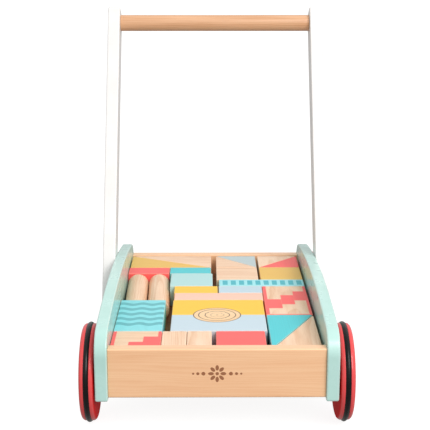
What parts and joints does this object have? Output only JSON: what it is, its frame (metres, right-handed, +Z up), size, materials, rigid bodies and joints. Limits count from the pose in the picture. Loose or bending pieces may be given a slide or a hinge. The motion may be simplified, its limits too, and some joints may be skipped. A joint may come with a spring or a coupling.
{
  "type": "baby walker",
  "caption": "Wooden push-along baby walker: a low four-wheeled tray of coloured building blocks with a leaning handle frame.",
  "frame": {"origin": "on the floor under the middle of the whole walker", "axes": "+Z up, +Y from the front board towards the child who pushes, +X to the right seen from the front"},
  "size_m": [0.3246, 0.5016, 0.478],
  "materials": {
    "mint_paint": "satin paint",
    "natural_wood": "clear satin lacquer",
    "plywood": "oiled",
    "white_paint": "satin paint",
    "steel": "zinc plated",
    "brass": "plain",
    "dowel_wood": "bare",
    "wheel_coral": "gloss paint",
    "ring_rubber": "smooth",
    "nylon": "plain",
    "plain_block": "bare sanded",
    "coral_block": "satin paint",
    "teal_block": "satin paint",
    "yellow_block": "satin paint",
    "pale_blue_block": "satin paint",
    "grey_blue_block": "satin paint",
    "pink_block": "satin paint",
    "steps_block": "bare wood with a painted staircase",
    "waves_block": "satin paint with darker waves",
    "log_block": "two painted fields and drawn rings",
    "checker_block": "satin paint with small squares"
  },
  "bodies": {
    "frame": {"axle_caps": "steel", "back_board": "natural_wood", "bar_screws": "steel", "base_board": "plywood", "board_screws": "steel", "corner_dowels": "dowel_wood", "front_axle": "steel", "front_board": "natural_wood", "handle_bar": "natural_wood", "handle_post_left": "white_paint", "handle_post_right": "white_paint", "inner_washers": "steel", "outer_washers": "steel", "post_bolts": "steel", "post_inserts": "brass", "rear_axle": "steel", "side_panel_left": "mint_paint", "side_panel_right": "mint_paint"},
    "front_left_wheel_set": {"front_left_wheel": "wheel_coral", "front_left_tyre": "ring_rubber", "front_left_bush": "nylon"},
    "front_right_wheel_set": {"front_right_wheel": "wheel_coral", "front_right_tyre": "ring_rubber", "front_right_bush": "nylon"},
    "rear_left_wheel_set": {"rear_left_wheel": "wheel_coral", "rear_left_tyre": "ring_rubber", "rear_left_bush": "nylon"},
    "rear_right_wheel_set": {"rear_right_wheel": "wheel_coral", "rear_right_tyre": "ring_rubber", "rear_right_bush": "nylon"},
    "block_coral": {"block_coral": "coral_block"},
    "block_large_steps": {"block_large_steps": "steps_block"},
    "block_log": {"block_log": "log_block"},
    "block_plain_one": {"block_plain_one": "plain_block"},
    "block_plain_rear": {"block_plain_rear": "plain_block"},
    "block_plain_two": {"block_plain_two": "plain_block"},
    "block_sky_blue": {"block_sky_blue": "pale_blue_block"},
    "block_small_steps": {"block_small_steps": "steps_block"},
    "block_waves": {"block_waves": "waves_block"},
    "block_yellow": {"block_yellow": "yellow_block"},
    "plank_checker": {"plank_checker": "checker_block"},
    "plank_coral": {"plank_coral": "coral_block"},
    "plank_pale_blue": {"plank_pale_blue": "pale_blue_block"},
    "plank_pink": {"plank_pink": "pink_block"},
    "plank_teal": {"plank_teal": "teal_block"},
    "plank_yellow": {"plank_yellow": "yellow_block"},
    "prism_coral": {"prism_coral": "coral_block"},
    "prism_grey_blue": {"prism_grey_blue": "grey_blue_block"},
    "prism_plain_front": {"prism_plain_front": "plain_block"},
    "prism_plain_long": {"prism_plain_long": "plain_block"},
    "prism_plain_middle": {"prism_plain_middle": "plain_block"},
    "prism_plain_right": {"prism_plain_right": "plain_block"},
    "prism_teal": {"prism_teal": "teal_block"},
    "prism_yellow": {"prism_yellow": "yellow_block"},
    "rod_left": {"rod_left": "plain_block"},
    "rod_right": {"rod_right": "plain_block"}
  },
  "joints": [
    {"name": "front_left_spin", "type": "hinge", "parent": "frame", "child": "front_left_wheel_set", "pos_m": [-0.15305, -0.19027, 0.0605], "axis": [1, 0, 0], "continuous": true},
    {"name": "front_right_spin", "type": "hinge", "parent": "frame", "child": "front_right_wheel_set", "pos_m": [0.15305, -0.19027, 0.0605], "axis": [1, 0, 0], "continuous": true},
    {"name": "rear_left_spin", "type": "hinge", "parent": "frame", "child": "rear_left_wheel_set", "pos_m": [-0.15305, 0.12951, 0.0605], "axis": [1, 0, 0], "continuous": true},
    {"name": "rear_right_spin", "type": "hinge", "parent": "frame", "child": "rear_right_wheel_set", "pos_m": [0.15305, 0.12951, 0.0605], "axis": [1, 0, 0], "continuous": true},
    {"name": "block_coral_lift", "type": "slide", "parent": "frame", "child": "block_coral", "axis": [0, 0, 1], "range_m": [0, 0.12]},
    {"name": "block_large_steps_lift", "type": "slide", "parent": "frame", "child": "block_large_steps", "axis": [0, 0, 1], "range_m": [0, 0.12]},
    {"name": "block_log_lift", "type": "slide", "parent": "frame", "child": "block_log", "axis": [0, 0, 1], "range_m": [0, 0.12]},
    {"name": "block_plain_one_lift", "type": "slide", "parent": "frame", "child": "block_plain_one", "axis": [0, 0, 1], "range_m": [0, 0.12]},
    {"name": "block_plain_rear_lift", "type": "slide", "parent": "frame", "child": "block_plain_rear", "axis": [0, 0, 1], "range_m": [0, 0.12]},
    {"name": "block_plain_two_lift", "type": "slide", "parent": "frame", "child": "block_plain_two", "axis": [0, 0, 1], "range_m": [0, 0.12]},
    {"name": "block_sky_blue_lift", "type": "slide", "parent": "frame", "child": "block_sky_blue", "axis": [0, 0, 1], "range_m": [0, 0.12]},
    {"name": "block_small_steps_lift", "type": "slide", "parent": "frame", "child": "block_small_steps", "axis": [0, 0, 1], "range_m": [0, 0.12]},
    {"name": "block_waves_lift", "type": "slide", "parent": "frame", "child": "block_waves", "axis": [0, 0, 1], "range_m": [0, 0.12]},
    {"name": "block_yellow_lift", "type": "slide", "parent": "frame", "child": "block_yellow", "axis": [0, 0, 1], "range_m": [0, 0.12]},
    {"name": "plank_checker_lift", "type": "slide", "parent": "frame", "child": "plank_checker", "axis": [0, 0, 1], "range_m": [0, 0.12]},
    {"name": "plank_coral_lift", "type": "slide", "parent": "frame", "child": "plank_coral", "axis": [0, 0, 1], "range_m": [0, 0.12]},
    {"name": "plank_pale_blue_lift", "type": "slide", "parent": "frame", "child": "plank_pale_blue", "axis": [0, 0, 1], "range_m": [0, 0.12]},
    {"name": "plank_pink_lift", "type": "slide", "parent": "frame", "child": "plank_pink", "axis": [0, 0, 1], "range_m": [0, 0.12]},
    {"name": "plank_teal_lift", "type": "slide", "parent": "frame", "child": "plank_teal", "axis": [0, 0, 1], "range_m": [0, 0.12]},
    {"name": "plank_yellow_lift", "type": "slide", "parent": "frame", "child": "plank_yellow", "axis": [0, 0, 1], "range_m": [0, 0.12]},
    {"name": "prism_coral_lift", "type": "slide", "parent": "frame", "child": "prism_coral", "axis": [0, 0, 1], "range_m": [0, 0.12]},
    {"name": "prism_grey_blue_lift", "type": "slide", "parent": "frame", "child": "prism_grey_blue", "axis": [0, 0, 1], "range_m": [0, 0.12]},
    {"name": "prism_plain_front_lift", "type": "slide", "parent": "frame", "child": "prism_plain_front", "axis": [0, 0, 1], "range_m": [0, 0.12]},
    {"name": "prism_plain_long_lift", "type": "slide", "parent": "frame", "child": "prism_plain_long", "axis": [0, 0, 1], "range_m": [0, 0.12]},
    {"name": "prism_plain_middle_lift", "type": "slide", "parent": "frame", "child": "prism_plain_middle", "axis": [0, 0, 1], "range_m": [0, 0.12]},
    {"name": "prism_plain_right_lift", "type": "slide", "parent": "frame", "child": "prism_plain_right", "axis": [0, 0, 1], "range_m": [0, 0.12]},
    {"name": "prism_teal_lift", "type": "slide", "parent": "frame", "child": "prism_teal", "axis": [0, 0, 1], "range_m": [0, 0.12]},
    {"name": "prism_yellow_lift", "type": "slide", "parent": "frame", "child": "prism_yellow", "axis": [0, 0, 1], "range_m": [0, 0.12]},
    {"name": "rod_left_lift", "type": "slide", "parent": "frame", "child": "rod_left", "axis": [0, 0, 1], "range_m": [0, 0.12]},
    {"name": "rod_right_lift", "type": "slide", "parent": "frame", "child": "rod_right", "axis": [0, 0, 1], "range_m": [0, 0.12]}
  ]
}
